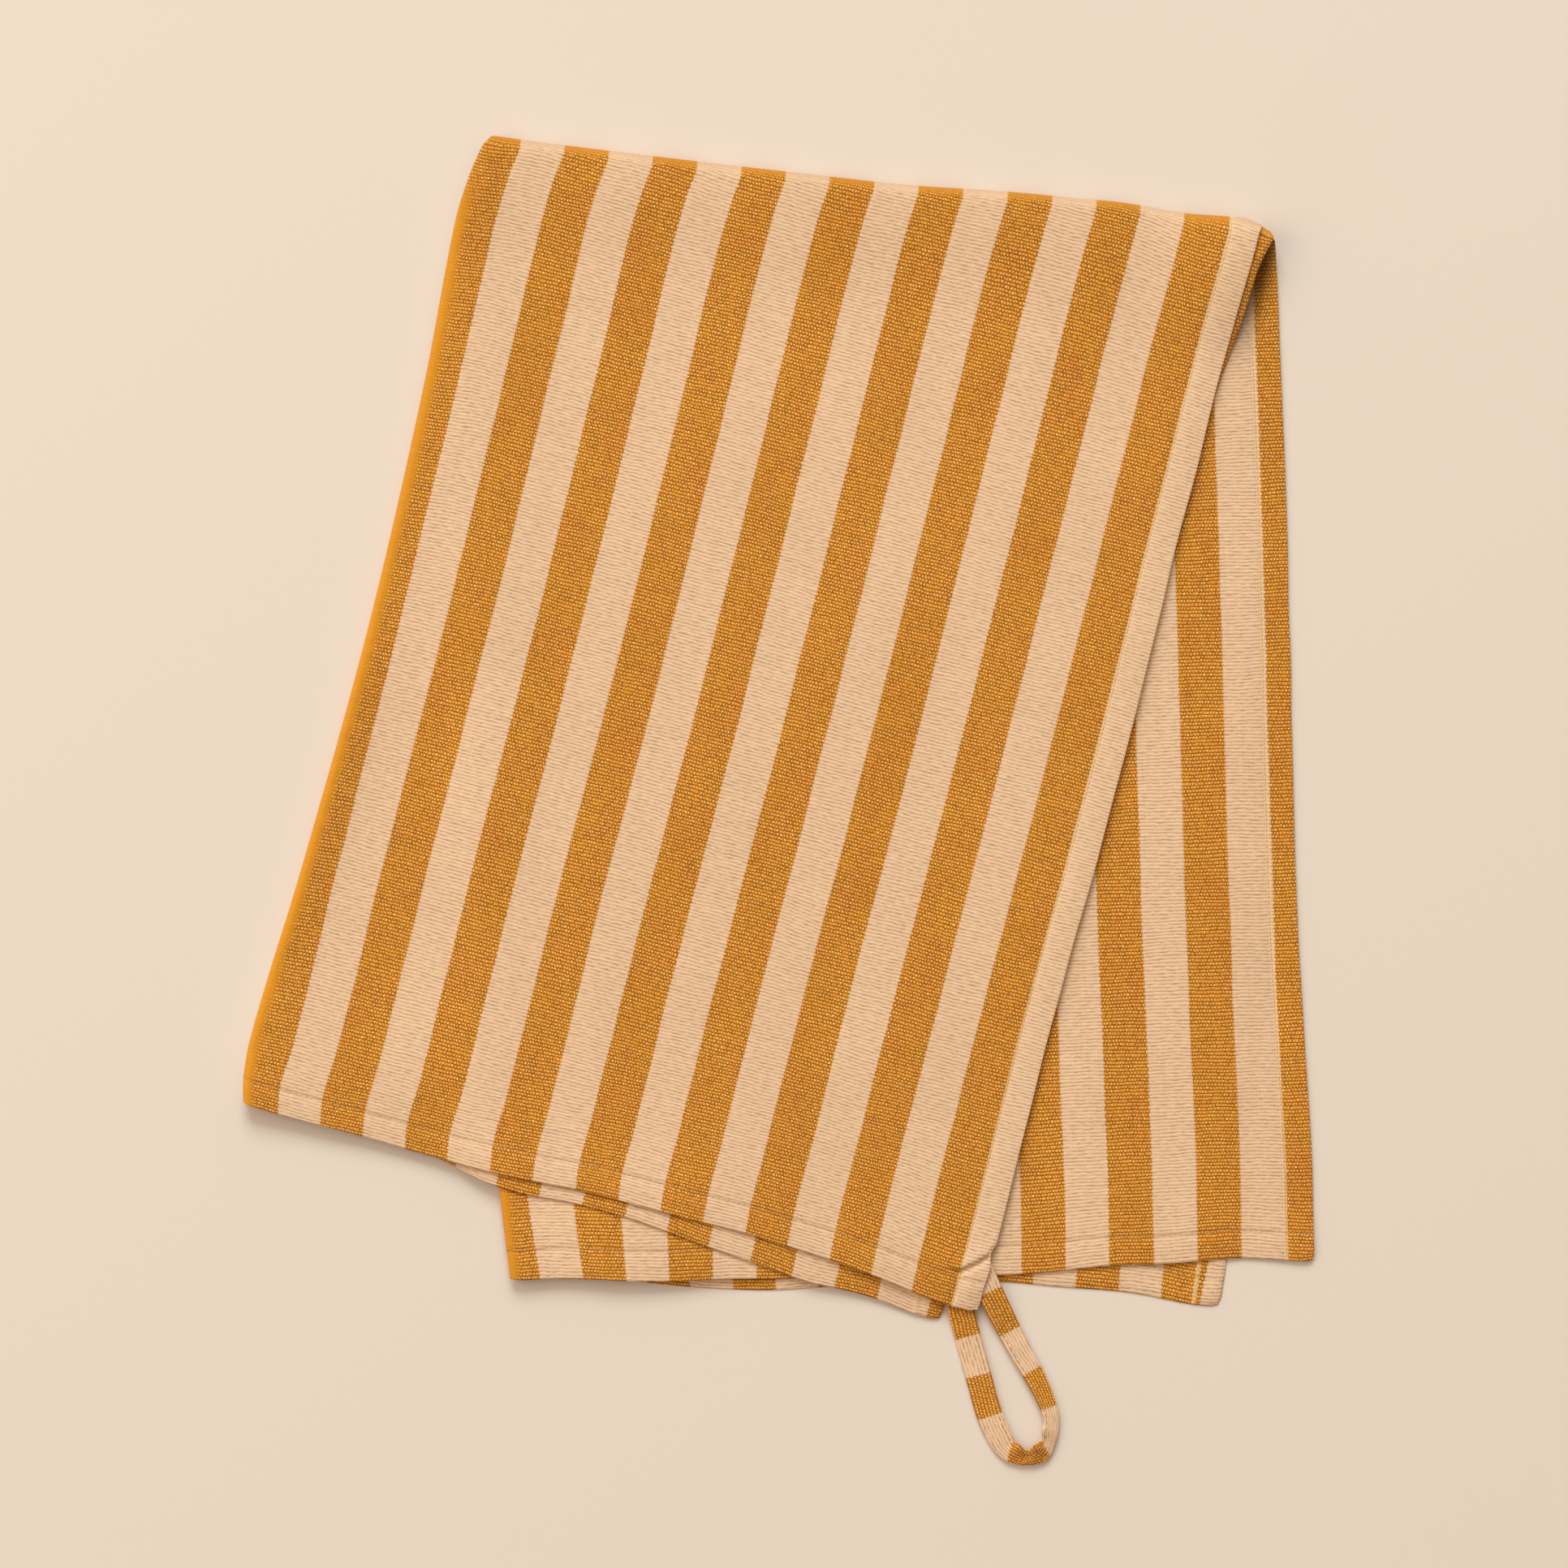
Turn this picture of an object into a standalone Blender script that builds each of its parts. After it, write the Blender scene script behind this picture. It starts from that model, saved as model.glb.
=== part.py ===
"""A striped cotton tea towel, folded twice, with the tape loop that it hangs by.

The towel is one sheet. It is folded in half lengthwise, so that a crease runs down its left side, and then
crosswise, so that it lies in four layers. The outer half of the cloth is the top layer and the bottom one,
and the inner half lies in between. The two pairs of layers are splayed: the front pair swings out to the left
of the back pair. Seen from above, +X is right, +Y is up the towel, and the sheet rests on z = 0. Lengths are
in millimetres.
"""
import math
from collections import namedtuple

import bmesh
import bpy
from mathutils import Vector

MM = 0.001

# The cloth, laid out flat.
CLOTH_LENGTH = 695.0
CLOTH_THICK = 1.0
HEM_THICK = 1.35
SIDE_HEM = 7.0
END_HEM = 9.0
HEM_STEP = 1.2  # width over which a hem thins out to the single cloth

# The stack of layers.
PAIR_RISE = 1.65  # half of the distance between the outer faces of a pair of layers
STACK_GAP = 0.5  # air between the lower pair and the upper one
BEND_RADIUS = 2.6  # crosswise fold, measured to the middle of the pair
BEND_REACH = 40.0  # the upper pair comes down on the lower one over this distance from the fold
ROLL_REACH = 22.0  # the swelling of the lengthwise crease dies out over this distance
SLACK_REACH = 70.0  # the inner half's spare width is taken up this near to the crease
DROOP_REACH = 45.0  # past the lower pair the upper one sinks over this distance
DROOP = 2.0
WAVE_FADE = 70.0  # a wave of a hem or of the fold dies out over this distance

# How finely the sheet is divided. Rows lie closer together near the crosswise fold.
ROLL_STEPS = 5
ROLL_MIDDLE = 0.4  # a line runs down the swollen crease at this share of its reach
FLAT_COLUMNS = 8
FLAT_ROWS = 12
ROW_CROWDING = 1.3
BEND_STEPS = 10

# Where the three long lines of the folded towel lie, seen from above. `run` goes from the end hem, 0, to the
# crosswise fold, 1. `rim` is the side hem of the outer half, `crease` the lengthwise fold, `tuck` the side
# hem of the inner half. `rim_at`, `crease_at` and `tuck_at` say which place across the cloth each of them is,
# because the hems are turned a little unevenly and the crease wanders. `roll` is the half height of the
# rounded crease.
Station = namedtuple("Station", "run rim crease tuck rim_at crease_at tuck_at roll")
STATIONS = {
    "front": (
        Station(0.00, (65.8, -165.3), (-173.6, -98.4), (51.5, -167.9), 0.4, 251.8, 504.0, 2.2),
        Station(0.08, (72.9, -137.5), (-170.7, -73.4), (59.5, -139.0), 0.0, 253.0, 504.0, 2.3),
        Station(0.25, (88.2, -78.7), (-152.8, -20.7), (77.5, -80.0), 0.4, 250.4, 504.0, 2.3),
        Station(0.50, (111.2, 8.0), (-133.0, 57.1), (103.0, 7.9), -0.6, 248.7, 504.0, 2.2),
        Station(0.75, (132.8, 94.8), (-114.8, 134.9), (129.8, 95.0), -0.3, 250.5, 504.0, 2.0),
        Station(0.92, (148.2, 154.6), (-104.6, 187.8), (151.4, 154.8), -0.4, 252.2, 504.0, 1.8),
        Station(1.00, (155.2, 182.6), (-96.7, 212.7), (161.2, 182.0), -0.5, 251.4, 504.0, 1.65),
    ),
    "back": (
        Station(0.00, (144.0, -164.8), (-86.7, -156.3), (174.0, -149.8), 3.8, 243.0, 505.9, 1.65),
        Station(0.10, (148.6, -130.0), (-90.7, -119.5), (172.4, -116.6), 2.0, 243.6, 504.3, 1.65),
        Station(0.35, (154.6, -43.7), (-92.3, -27.1), (168.1, -34.0), 0.5, 246.0, 504.0, 1.65),
        Station(0.70, (156.5, 77.4), (-94.6, 102.0), (165.2, 81.9), -0.3, 249.0, 504.0, 1.65),
        Station(1.00, (155.2, 182.6), (-96.7, 212.7), (162.0, 181.8), -0.5, 251.4, 504.0, 1.65),
    ),
}

# Waves of the end hems and of the fold: how far (`shift`) the cloth reaches past the straight line there, at
# `from_side` along it from the half's own side hem, over `reach` to each side.
Wave = namedtuple("Wave", "side half line from_side reach shift")
WAVES = (
    Wave("front", "outer", "hem", 82.0, 75.0, -3.4),
    Wave("front", "outer", "hem", 10.0, 26.0, 1.4),
    Wave("front", "inner", "hem", 30.0, 55.0, 1.8),
    Wave("back", "outer", "hem", 78.0, 80.0, -5.6),
    Wave("back", "inner", "hem", 27.0, 27.0, -1.6),
    Wave("back", "inner", "hem", 105.0, 60.0, 1.9),
    Wave("back", "inner", "hem", 213.0, 50.0, 1.0),
    Wave("both", "both", "fold", 62.0, 60.0, 2.2),
    Wave("both", "both", "fold", 190.0, 85.0, -1.3),
)

# Places where a layer stands off the plain stack or sinks into it.
Swell = namedtuple("Swell", "side half from_side run across along lift")
SWELLS = (
    Swell("front", "outer", 4.0, 0.00, 26.0, 0.10, 0.5),  # the thick corner over the loop's ends
    Swell("front", "both", 252.0, 0.00, 70.0, 0.22, 1.0),  # the front's lower left corner stands up a little
    Swell("front", "outer", 150.0, 0.45, 80.0, 0.40, 0.4),
    Swell("back", "inner", 0.0, 0.00, 24.0, 0.55, -0.6),  # past the bottom layer the one above it sinks
)

# The tape loop's route from one sewn end to the other, along its middle. `tilt` turns the tape about that
# line, its inner edge upwards, and `rise` lifts its lowest edge off the surface.
LOOP_WIDTH = 8.2
LOOP_THICK = 1.4
LOOP_CLEAR = 0.3
LOOP_COLUMNS = 4
LOOP_STEP = 2.4
LOOP_AIM = 0.5  # the tape's direction is read this far before and after a section
Stop = namedtuple("Stop", "x y tilt rise")
LOOP_ROUTE = (
    Stop(59.0, -160.6, 0.0, 3.5),
    Stop(59.9, -166.4, 0.0, 3.3),
    Stop(62.1, -174.8, 4.0, 1.2),
    Stop(65.5, -187.4, 8.0, 0.0),
    Stop(69.8, -200.9, 14.0, 0.0),
    Stop(74.2, -208.2, 28.0, 0.0),
    Stop(79.5, -213.8, 50.0, 0.0),
    Stop(85.8, -212.4, 52.0, 0.3),
    Stop(88.9, -205.6, 54.0, 0.3),
    Stop(88.4, -198.4, 50.0, 0.2),
    Stop(82.8, -185.6, 40.0, 0.0),
    Stop(76.3, -173.9, 32.0, 0.4),
    Stop(70.3, -162.2, 5.0, 2.9),
    Stop(65.0, -150.4, 0.0, 3.5),
)


def ease(share):
    """Goes from 0 to 1 with level ends."""
    share = min(max(share, 0.0), 1.0)
    return share * share * (3.0 - 2.0 * share)


def bump(share):
    """1 at the middle, falling smoothly to 0 at 1 on each side."""
    return (1.0 - share * share) ** 2 if abs(share) < 1.0 else 0.0


def smooth(places, values, at):
    """The curve through the values at their places, read at one place."""
    last = len(places) - 1
    slopes = []
    for i in range(last + 1):
        low, high = max(i - 1, 0), min(i + 1, last)
        slopes.append((values[high] - values[low]) / (places[high] - places[low]))
    i = max(k for k in range(last) if k == 0 or places[k] <= at)
    span = places[i + 1] - places[i]
    u = (at - places[i]) / span
    rise = values[i + 1] - values[i]
    bend_in = slopes[i] * span - rise
    bend_out = rise - slopes[i + 1] * span
    return values[i] + u * rise + u * (1.0 - u) * ((1.0 - u) * bend_in + u * bend_out)


def station_value(side, column, run):
    rows = STATIONS[side]
    return smooth([row.run for row in rows], [getattr(row, column) for row in rows], run)


def line_place(side, line, run):
    """A point of one long line of the towel, seen from above."""
    rows = STATIONS[side]
    runs = [row.run for row in rows]
    return Vector([smooth(runs, [getattr(row, line)[axis] for row in rows], run) for axis in (0, 1)])


RIM_AT_FOLD = line_place("front", "rim", 1.0)
CREASE_AT_FOLD = line_place("front", "crease", 1.0)
FOLD_LINE = (RIM_AT_FOLD - CREASE_AT_FOLD).normalized()
FOLD_OUT = Vector((-FOLD_LINE.y, FOLD_LINE.x))


def half_width(side, half, run):
    """Width of cloth between the crease and the half's side hem."""
    crease_at = station_value(side, "crease_at", run)
    if half == "outer":
        return crease_at - station_value(side, "rim_at", run)
    return station_value(side, "tuck_at", run) - crease_at


def crease_profile(distance, roll):
    """Cloth at this distance from the crease: its way in from the outline, its half height and the pair's."""
    swell = PAIR_RISE + (roll - PAIR_RISE) * (1.0 - ease(distance / ROLL_REACH))
    quarter = 0.5 * math.pi * roll
    if distance >= quarter:
        return roll + distance - quarter, swell, swell
    turn = distance / roll
    return roll * (1.0 - math.cos(turn)), swell * math.sin(turn), swell


def wave_shift(side, half, line, from_side):
    total = 0.0
    for wave in WAVES:
        if wave.line == line and wave.side in (side, "both") and wave.half in (half, "both"):
            total += wave.shift * bump((from_side - wave.from_side) / wave.reach)
    return total


def swell_lift(side, half, from_side, run):
    total = 0.0
    for swell in SWELLS:
        if swell.side == side and swell.half in (half, "both"):
            across = bump((from_side - swell.from_side) / swell.across)
            total += swell.lift * across * bump((run - swell.run) / swell.along)
    return total


def plan_place(side, half, run, distance):
    """Where cloth at this distance from the crease lies, seen from above."""
    side_line = "rim" if half == "outer" else "tuck"
    crease = line_place(side, "crease", run)
    hem = line_place(side, side_line, run)
    to_hem = line_place(side, side_line, 0.0) - line_place(side, side_line, 1.0)
    to_hem.normalize()
    across = (hem - crease).normalized()
    slant = abs(across.x * to_hem.y - across.y * to_hem.x)
    width = half_width(side, half, run)
    roll = station_value(side, "roll", run)
    slack = crease_profile(width, roll)[0] / slant - (hem - crease).length
    taken = distance / width if half == "outer" else ease(distance / SLACK_REACH)
    way_in = crease_profile(distance, roll)[0] / slant - slack * taken
    from_side = width - distance
    from_hem = run * 0.5 * CLOTH_LENGTH
    from_fold = (1.0 - run) * 0.5 * CLOTH_LENGTH
    place = crease + across * way_in
    place += to_hem * wave_shift(side, half, "hem", from_side) * (1.0 - ease(from_hem / WAVE_FADE))
    place += FOLD_OUT * wave_shift(side, half, "fold", from_side) * (1.0 - ease(from_fold / WAVE_FADE))
    return place


def pair_middle(side, half, run, distance, plan):
    """Height of the middle of a pair of layers, and the half height of the cloth's face from it."""
    _, rise, swell = crease_profile(distance, station_value(side, "roll", run))
    lift = swell_lift(side, half, half_width(side, half, run) - distance, run)
    if side == "back":
        return swell + lift, rise
    from_fold = (1.0 - run) * 0.5 * CLOTH_LENGTH
    resting = 3.0 * PAIR_RISE + STACK_GAP
    at_fold = PAIR_RISE + 2.0 * BEND_RADIUS
    middle = resting + (at_fold - resting) * (1.0 - ease(from_fold / BEND_REACH))
    beyond = back_crease_x(run) - plan.x
    return middle - DROOP * ease(beyond / DROOP_REACH) + lift, rise


def back_crease_x(run):
    """The lower pair's left edge, which the upper pair hangs over."""
    return line_place("back", "crease", run).x


def layer_place(side, half, run, distance):
    """A point of the cloth's right side in one of the four flat layers."""
    plan = plan_place(side, half, run, distance)
    middle, rise = pair_middle(side, half, run, distance, plan)
    up = 1.0 if (side == "front") == (half == "outer") else -1.0
    return Vector((plan.x, plan.y, middle + up * rise))


def bend_place(half, share, distance):
    """A point of the crosswise fold, from the upper layer, share 0, to the lower one, share 1."""
    front = layer_place("front", half, 1.0, distance)
    back = layer_place("back", half, 1.0, distance)
    turn = math.pi * share
    radius = 0.5 * (front.z - back.z)
    plan = front.lerp(back, share).to_2d() + FOLD_OUT * radius * math.sin(turn)
    return Vector((plan.x, plan.y, 0.5 * (front.z + back.z) + radius * math.cos(turn)))


def distances_from_crease(width, roll):
    """Where one half of the cloth is divided from its crease to its side hem, and how thick it is there."""
    quarter = 0.5 * math.pi * roll
    steps = [(quarter * k / ROLL_STEPS, CLOTH_THICK) for k in range(ROLL_STEPS + 1)]
    first, last = ROLL_REACH, width - SIDE_HEM - HEM_STEP
    steps.append((ROLL_MIDDLE * first, CLOTH_THICK))
    steps += [(first + (last - first) * k / FLAT_COLUMNS, CLOTH_THICK) for k in range(FLAT_COLUMNS + 1)]
    steps += [(width - SIDE_HEM, HEM_THICK), (width, HEM_THICK)]
    return steps


def runs_from_hem():
    """Where the towel is divided from an end hem to the fold, and how thick it is there."""
    hem = END_HEM / (0.5 * CLOTH_LENGTH)
    thin = (END_HEM + HEM_STEP) / (0.5 * CLOTH_LENGTH)
    runs = [(0.0, HEM_THICK), (hem, HEM_THICK), (thin, CLOTH_THICK)]
    for k in range(1, FLAT_ROWS + 1):
        share = k / FLAT_ROWS
        runs.append((thin + (1.0 - thin) * (1.0 - (1.0 - share) ** ROW_CROWDING), CLOTH_THICK))
    return runs


def cloth_rows():
    """The rows of the folded sheet, each a list of (place, thickness) from inner side hem to outer one."""
    runs = runs_from_hem()
    rows = [("front", run, thick) for run, thick in runs]
    rows += [("bend", k / BEND_STEPS, CLOTH_THICK) for k in range(1, BEND_STEPS)]
    rows += [("back", run, thick) for run, thick in reversed(runs)]
    for side, at, row_thick in rows:
        station_side, run = ("front", 1.0) if side == "bend" else (side, at)
        roll = station_value(station_side, "roll", run)
        points = []
        for half in ("inner", "outer"):
            steps = distances_from_crease(half_width(station_side, half, run), roll)
            steps = list(reversed(steps)) if half == "inner" else steps[1:]
            for distance, thick in steps:
                if side == "bend":
                    place = bend_place(half, at, distance)
                else:
                    place = layer_place(side, half, run, distance)
                points.append((place, max(thick, row_thick)))
        yield points


def sheet_object(name, rows, full_thick, offset):
    """A closed sheet through rows of (place, thickness), as a grid with a Solidify modifier."""
    rows = list(rows)
    last_row, last_column = len(rows) - 1, len(rows[0]) - 1
    bm = bmesh.new()
    bmesh.ops.create_grid(bm, x_segments=last_column, y_segments=last_row, size=1.0)
    weights = bm.verts.layers.deform.verify()
    for vert in bm.verts:
        column = round((vert.co.x + 1.0) / 2.0 * last_column)
        row = round((vert.co.y + 1.0) / 2.0 * last_row)
        place, thick = rows[row][column]
        vert.co = place * MM
        vert[weights][0] = thick / full_thick
    mesh = bpy.data.meshes.new(name)
    bm.to_mesh(mesh)
    bm.free()
    mesh.shade_smooth()
    piece = bpy.data.objects.new(name, mesh)
    piece.vertex_groups.new(name="thickness")
    solidify = piece.modifiers.new("thickness", "SOLIDIFY")
    solidify.thickness = full_thick * MM
    solidify.offset = offset
    solidify.use_even_offset = True
    solidify.vertex_group = "thickness"
    return piece


def loop_rows():
    """Sections of the tape along its route, each a list of (place, thickness) across the tape."""
    places = [0.0]
    for a, b in zip(LOOP_ROUTE, LOOP_ROUTE[1:]):
        places.append(places[-1] + math.hypot(b.x - a.x, b.y - a.y))

    def read(column, at):
        return smooth(places, [getattr(stop, column) for stop in LOOP_ROUTE], at)

    count = round(places[-1] / LOOP_STEP)
    for k in range(count + 1):
        at = places[-1] * k / count
        before, after = max(at - LOOP_AIM, 0.0), min(at + LOOP_AIM, places[-1])
        ahead = Vector((read("x", after) - read("x", before), read("y", after) - read("y", before)))
        ahead.normalize()
        inward = Vector((-ahead.y, ahead.x))
        tilt = math.radians(read("tilt", at))
        half = 0.5 * LOOP_WIDTH
        height = LOOP_CLEAR + max(read("rise", at), 0.0)
        height += half * math.sin(tilt) + 0.5 * LOOP_THICK * math.cos(tilt)
        section = []
        for column in range(LOOP_COLUMNS + 1):
            aside = half * (2.0 * column / LOOP_COLUMNS - 1.0)
            plan = Vector((read("x", at), read("y", at))) + inward * aside * math.cos(tilt)
            section.append((Vector((plan.x, plan.y, height + aside * math.sin(tilt))), LOOP_THICK))
        yield section


def cloth_material(name, color, roughness):
    material = bpy.data.materials.new(name)
    material.use_nodes = True
    shader = material.node_tree.nodes["Principled BSDF"]
    shader.inputs["Base Color"].default_value = (*color, 1.0)
    shader.inputs["Roughness"].default_value = roughness
    shader.inputs["Metallic"].default_value = 0.0
    return material


def main():
    for item in list(bpy.data.objects):
        bpy.data.objects.remove(item, do_unlink=True)
    collection = bpy.data.collections.new("tea_towel")
    bpy.context.scene.collection.children.link(collection)
    root = bpy.data.objects.new("tea_towel", None)
    collection.objects.link(root)

    towel = sheet_object("towel", cloth_rows(), HEM_THICK, -1.0)
    towel.data.materials.append(cloth_material("striped_cotton", (0.60, 0.33, 0.12), 0.9))
    loop = sheet_object("hanging_loop", loop_rows(), LOOP_THICK, 0.0)
    loop.data.materials.append(cloth_material("striped_tape", (0.66, 0.42, 0.20), 0.9))
    for piece in (towel, loop):
        collection.objects.link(piece)
        piece.parent = root


main()
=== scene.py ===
import math
import random
from collections import namedtuple

import bpy
import numpy as np
from mathutils import Matrix, Vector, noise


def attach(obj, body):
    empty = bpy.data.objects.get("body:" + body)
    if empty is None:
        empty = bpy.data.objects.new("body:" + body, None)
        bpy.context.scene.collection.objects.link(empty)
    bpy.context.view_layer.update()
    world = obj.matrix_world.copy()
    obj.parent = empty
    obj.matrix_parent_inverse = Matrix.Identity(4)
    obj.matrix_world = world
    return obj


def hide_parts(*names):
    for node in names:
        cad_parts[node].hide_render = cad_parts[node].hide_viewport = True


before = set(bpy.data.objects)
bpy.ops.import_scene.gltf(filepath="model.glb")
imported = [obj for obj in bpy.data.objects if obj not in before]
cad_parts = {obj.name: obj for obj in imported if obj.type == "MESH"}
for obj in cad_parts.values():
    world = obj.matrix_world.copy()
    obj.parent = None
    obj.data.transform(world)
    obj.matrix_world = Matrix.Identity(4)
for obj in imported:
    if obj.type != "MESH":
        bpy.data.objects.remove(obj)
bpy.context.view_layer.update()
mm = 0.001
print("frame loaded:", sorted(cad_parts))


def deselectAll():
    bpy.ops.object.select_all(action="DESELECT")


def ease(share):
    # goes from 0 to 1 with level ends
    share = min(max(share, 0.0), 1.0)
    return share * share * (3.0 - 2.0 * share)


def bump(share):
    # 1 at the middle, down to 0 at 1 on each side
    return (1.0 - share * share) ** 2 if abs(share) < 1.0 else 0.0


def smooth(places, values, at):
    # the curve through the values at their places, read at one place
    last = len(places) - 1
    slopes = []
    for i in range(last + 1):
        low, high = max(i - 1, 0), min(i + 1, last)
        slopes.append((values[high] - values[low]) / (places[high] - places[low]))
    i = max(k for k in range(last) if k == 0 or places[k] <= at)
    span = places[i + 1] - places[i]
    part = (at - places[i]) / span
    rise = values[i + 1] - values[i]
    bendIn = slopes[i] * span - rise
    bendOut = rise - slopes[i + 1] * span
    return values[i] + part * rise + part * (1.0 - part) * ((1.0 - part) * bendIn + part * bendOut)


# The cloth as it was woven, cut and hemmed, in millimetres. Its place across the stripes is counted from the
# outer half's side hem, its place along them from the front end hem.
cloth = {
    "width": 504.0,
    "length": 695.0,
    "thick": 0.55,
    "hemThick": 0.85,
    "cornerThick": 1.5,
    "sideHem": 9.0,  # from the edge to the seam
    "endHem": 9.4,
    "edgeRound": 0.9,
    "cornerRound": 3.2,
    "seamDepth": 0.18,
    "seamWidth": 1.0,
    "seamPull": 0.15,  # the thread draws the hem this much thinner
    "puckerPitch": 5.8,
    "hemPuff": 0.14,
    "wobble": 0.35,
    "wobbleReach": 14.0,
    "columns": 54,  # divisions of one half, beside the closer ones at its crease and its hem
    "rollColumns": 8,
    "rollSteps": 7,
    "rowStep": 4.0,
    "bendSteps": 16,
}
stripes = {"first": 9.0, "pitch": 28.66, "gold": 14.4}
weave = {"warp": 0.52, "weft": 1.13}  # from one thread to the next across the stripes, and from rib to rib

# The front corner over the loop's ends: its puffed block, the slanting groove above it, and the steps by which
# its side is drawn in, each with its place from the end hem, its reach and its depth.
loopCorner = {
    "puff": 0.6,
    "grooveAt": 11.2,
    "grooveSlope": 0.74,
    "grooveDepth": 1.0,
    "lap": 0.45,
    "drawnIn": ((6.0, 9.0, 0.5), (18.5, 4.0, 0.9)),
}

# How the towel is folded, in millimetres.
stack = {
    "pairRise": 1.0,  # half of the distance between the outer faces of a pair of layers
    "gap": 0.45,
    "bendRadius": 2.35,
    "bendReach": 40.0,
    "rollReach": 22.0,
    "slackReach": 70.0,
    "droopReach": 45.0,
    "droop": 2.0,
    "sag": 0.9,  # past the bottom layer the next one sinks onto the surface
    "sagReach": 13.0,
    "waveFade": 70.0,
    "frontReach": {"outer": 364.4, "crease": 324.5, "inner": 367.5},  # cloth from the front hem to the fold
    "bendHalf": {"outer": 6.6, "crease": 4.1, "inner": 1.8},  # half of the cloth that the fold takes up
    "endFlat": {"outer": 0.3, "inner": 0.6},  # towards its open end the fold bulges less,
    "endIn": {"outer": -1.2, "inner": 1.3},  # and its two cloths stand out or are drawn in
    "creaseOut": 1.9,  # where both folds meet, the corner stands out
}

# The three long lines of the folded towel, seen from above: the outer half's side hem, the lengthwise crease
# and the inner half's side hem. run goes from the end hem, 0, to the crosswise fold, 1. The ...At columns say
# which place across the cloth each line is, and roll is the half height of the rounded crease.
Station = namedtuple("Station", "run rim crease tuck rimAt creaseAt tuckAt roll")
stations = {
    "front": (
        Station(0.00, (65.8, -165.3), (-173.6, -98.4), (53.3, -168.4), 0.4, 251.8, 504.0, 2.2),
        Station(0.03, (68.5, -154.9), (-173.4, -89.4), (55.8, -157.4), 0.3, 252.2, 504.0, 2.2),
        Station(0.08, (72.9, -137.5), (-170.4, -74.0), (59.5, -139.0), 0.0, 254.1, 504.0, 2.3),
        Station(0.25, (87.6, -78.7), (-154.2, -20.7), (77.5, -80.0), 0.4, 251.0, 504.0, 2.3),
        Station(0.50, (111.2, 8.0), (-132.7, 57.1), (103.0, 7.9), -0.6, 249.4, 504.0, 2.2),
        Station(0.75, (132.8, 94.8), (-114.8, 134.9), (129.8, 95.0), -0.3, 250.3, 504.0, 2.0),
        Station(0.92, (148.2, 154.6), (-104.6, 187.8), (150.4, 154.8), -0.4, 252.2, 504.0, 1.8),
        Station(0.97, (153.2, 172.6), (-99.7, 203.4), (155.9, 172.2), -0.5, 251.7, 504.0, 1.6),
        Station(1.00, (155.9, 183.2), (-95.6, 212.7), (160.9, 182.0), -0.5, 251.4, 504.0, 1.5),
    ),
    "back": (
        Station(0.00, (144.0, -164.8), (-86.7, -156.3), (174.6, -149.8), 3.8, 242.2, 505.6, 1.5),
        Station(0.10, (148.6, -130.0), (-90.7, -119.5), (173.8, -116.6), 2.0, 243.6, 505.5, 1.5),
        Station(0.35, (154.6, -43.7), (-92.3, -27.1), (168.9, -34.0), 0.5, 246.0, 504.0, 1.5),
        Station(0.70, (156.5, 77.4), (-94.6, 102.0), (165.9, 81.9), -0.3, 249.0, 504.4, 1.5),
        Station(1.00, (155.2, 182.6), (-95.6, 212.7), (162.0, 181.8), -0.5, 251.4, 504.0, 1.5),
    ),
}

# Waves of the end hems and of the fold: each has its place from the side hem, its reach to both sides, and how
# far the cloth goes past the straight line there.
hemWaves = {
    ("front", "outer"): [(10.0, 26.0, 1.4), (82.0, 75.0, -3.4), (139.0, 42.0, -1.5), (252.0, 5.0, -0.8)],
    ("front", "inner"): [
        *[(27.0, 20.0, -1.7), (30.0, 55.0, 1.8), (108.0, 38.0, -1.2), (149.0, 24.0, 1.4)],
        *[(196.0, 44.0, -3.4), (252.0, 5.0, -0.8)],
    ],
    ("back", "outer"): [(30.0, 26.0, -1.2), (78.0, 80.0, -5.6), (215.0, 45.0, -1.5)],
    ("back", "inner"): [
        *[(27.0, 27.0, -1.6), (68.0, 30.0, -1.0), (105.0, 60.0, 1.9), (160.0, 40.0, 1.4)],
        *[(213.0, 50.0, 1.0), (245.0, 22.0, -1.3), (263.0, 5.0, -0.7)],
    ],
}
foldWaves = [(40.0, 22.0, 0.9), (62.0, 60.0, 2.2), (190.0, 85.0, -0.3)]

# Soft ridges and troughs: fromSide is counted from the half's side hem, run along the layer,
# across and along are how far they reach, and lift is how high they stand.
Swell = namedtuple("Swell", "side half fromSide run across along lift")
swells = (
    Swell("front", "outer", 4.0, 0.00, 26.0, 0.10, 0.5),  # the thick corner over the loop's ends
    Swell("front", "outer", 0.0, 0.00, 40.0, 0.035, -1.0),
    Swell("front", "inner", 0.0, 0.00, 48.0, 0.04, -1.9),  # and the one under it, which hangs down
    Swell("front", "both", 252.0, 0.00, 80.0, 0.22, 2.2),  # the lower left corner stands up a little
    Swell("front", "outer", 150.0, 0.45, 80.0, 0.40, 0.4),
    Swell("front", "outer", 60.0, 0.70, 45.0, 0.16, 0.25),
    Swell("front", "outer", 205.0, 0.66, 40.0, 0.14, -0.25),
    Swell("front", "outer", 110.0, 0.22, 50.0, 0.12, -0.2),
    Swell("front", "both", 0.0, 1.00, 34.0, 0.13, 4.6),  # the open end of the fold gapes
    Swell("back", "both", 246.0, 0.00, 60.0, 0.16, 1.8),  # and so does the back pair's
    Swell("back", "inner", 0.0, 0.00, 24.0, 0.06, 0.6),
    Swell("back", "inner", 46.0, 0.40, 26.0, 0.20, 0.2),
    Swell("back", "inner", 60.0, 0.12, 24.0, 0.10, -0.15),
)

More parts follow.
